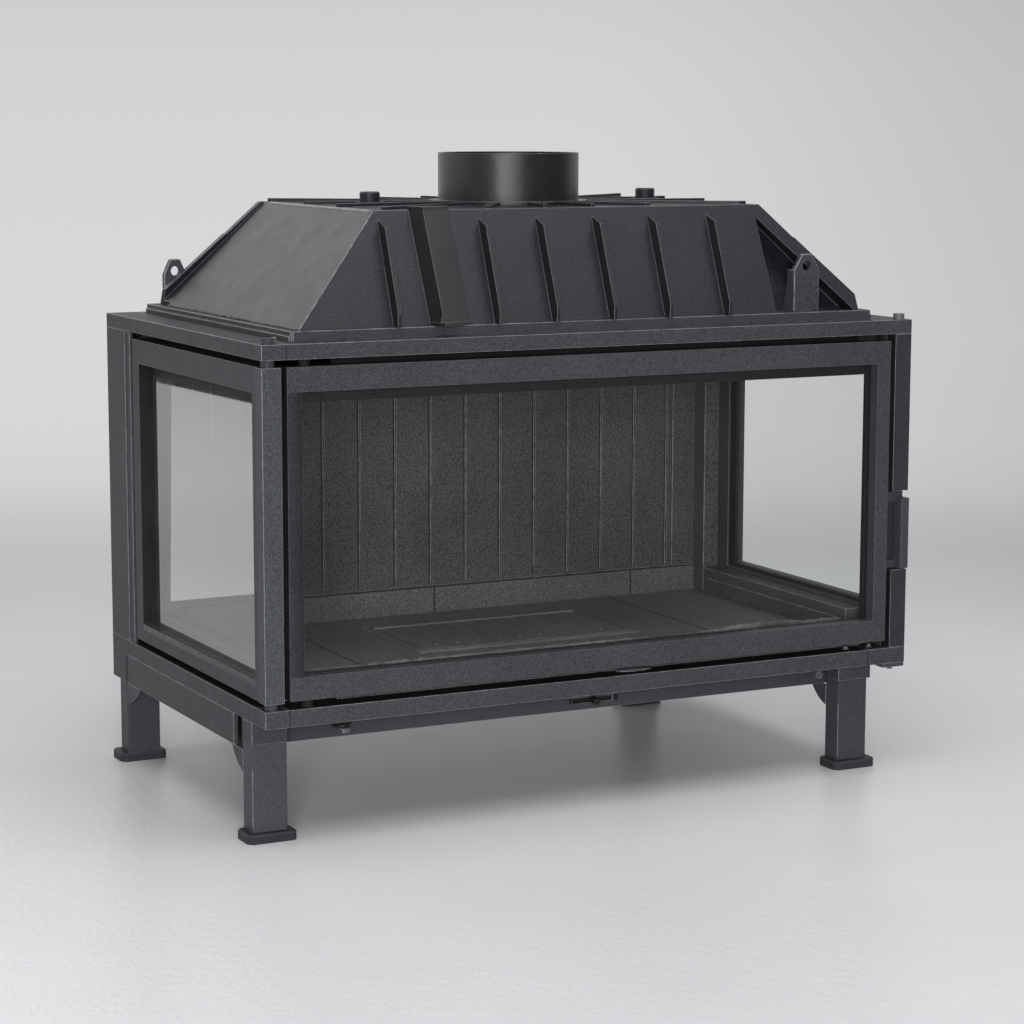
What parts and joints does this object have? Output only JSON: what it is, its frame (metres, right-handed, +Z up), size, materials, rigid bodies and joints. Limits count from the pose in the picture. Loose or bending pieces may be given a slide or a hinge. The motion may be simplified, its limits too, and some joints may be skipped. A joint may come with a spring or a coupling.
{
  "type": "three-sided fireplace insert",
  "caption": "Wide fireplace insert with glass on the front and both ends, a hinged front door with a latch, a swinging left window, a ribbed hood and a round flue spigot.",
  "frame": {"origin": "on the floor under the middle of the body", "axes": "+X runs right along the front, +Y runs to the back, +Z is up"},
  "size_m": [1.0005, 0.615, 0.8895],
  "materials": {
    "frame_grey": "matt heat-resistant paint",
    "hood_iron": "painted casting",
    "lining_iron": "dark raw casting",
    "plain_steel": "dark steel",
    "clear_glass": "clear ceramic glass",
    "rope_seal": "woven glass rope"
  },
  "bodies": {
    "stove": {"ash_box": "plain_steel", "ash_pan": "plain_steel", "back_panel": "lining_iron", "baffle": "lining_iron", "bolt_heads": "plain_steel", "bottom_frame": "frame_grey", "corner_clip": "frame_grey", "crown_bolts": "hood_iron", "door_pivots": "plain_steel", "door_sill": "lining_iron", "firebox_back": "lining_iron", "flue_collar": "hood_iron", "foot_plates": "frame_grey", "front_band": "frame_grey", "hearth_plates": "lining_iron", "hinge_blocks": "frame_grey", "hood": "hood_iron", "hood_flange": "hood_iron", "infill_panels": "lining_iron", "inner_columns": "lining_iron", "latch_keeper": "plain_steel", "leg_brackets": "frame_grey", "leg_front_left": "frame_grey", "leg_front_right": "frame_grey", "leg_rear_left": "frame_grey", "leg_rear_right": "frame_grey", "lifting_lugs": "hood_iron", "lintels": "lining_iron", "log_guard": "lining_iron", "outer_back": "frame_grey", "plinth_plates": "lining_iron", "post_pivots": "plain_steel", "rear_band": "frame_grey", "rear_column_left": "frame_grey", "rear_column_right": "frame_grey", "rear_corner_blocks": "frame_grey", "right_column": "frame_grey", "right_corner_block": "frame_grey", "right_frame": "frame_grey", "right_glass": "clear_glass", "right_jamb": "lining_iron", "right_retainer": "frame_grey", "side_bands": "frame_grey", "side_sills": "lining_iron", "side_walls": "lining_iron", "top_frame": "frame_grey"},
    "front_door": {"door_frame": "frame_grey", "door_glass": "clear_glass", "door_retainer": "frame_grey", "door_seal": "rope_seal"},
    "handle": {"door_handle": "frame_grey", "latch_shaft": "plain_steel"},
    "left_door": {"left_frame": "frame_grey", "corner_post": "frame_grey", "left_glass": "clear_glass", "left_retainer": "frame_grey", "left_gasket": "rope_seal"},
    "knob": {"air_knob": "frame_grey"},
    "slider": {"air_slider": "frame_grey"},
    "fire_grate": {"grate": "lining_iron"}
  },
  "joints": [
    {"name": "front_door_turn", "type": "hinge", "parent": "stove", "child": "front_door", "pos_m": [-0.4305, -0.29, 0.41], "axis": [0, 0, -1], "range_deg": [0, 100]},
    {"name": "handle_turn", "type": "hinge", "parent": "front_door", "child": "handle", "pos_m": [0.45, -0.292, 0.354], "axis": [0, 0, -1], "range_deg": [0, 20]},
    {"name": "left_door_turn", "type": "hinge", "parent": "stove", "child": "left_door", "pos_m": [-0.4815, -0.2915, 0.41], "axis": [0, 0, 1], "range_deg": [0, 90]},
    {"name": "knob_turn", "type": "hinge", "parent": "stove", "child": "knob", "pos_m": [-0.349, -0.215, 0.129], "axis": [0, -1, 0], "range_deg": [0, 90]},
    {"name": "slider_slide", "type": "slide", "parent": "stove", "child": "slider", "axis": [1, 0, 0], "range_m": [-0.028, 0.028]},
    {"name": "grate_lift", "type": "slide", "parent": "stove", "child": "fire_grate", "axis": [0, 0, 1], "range_m": [0, 0.12]}
  ]
}
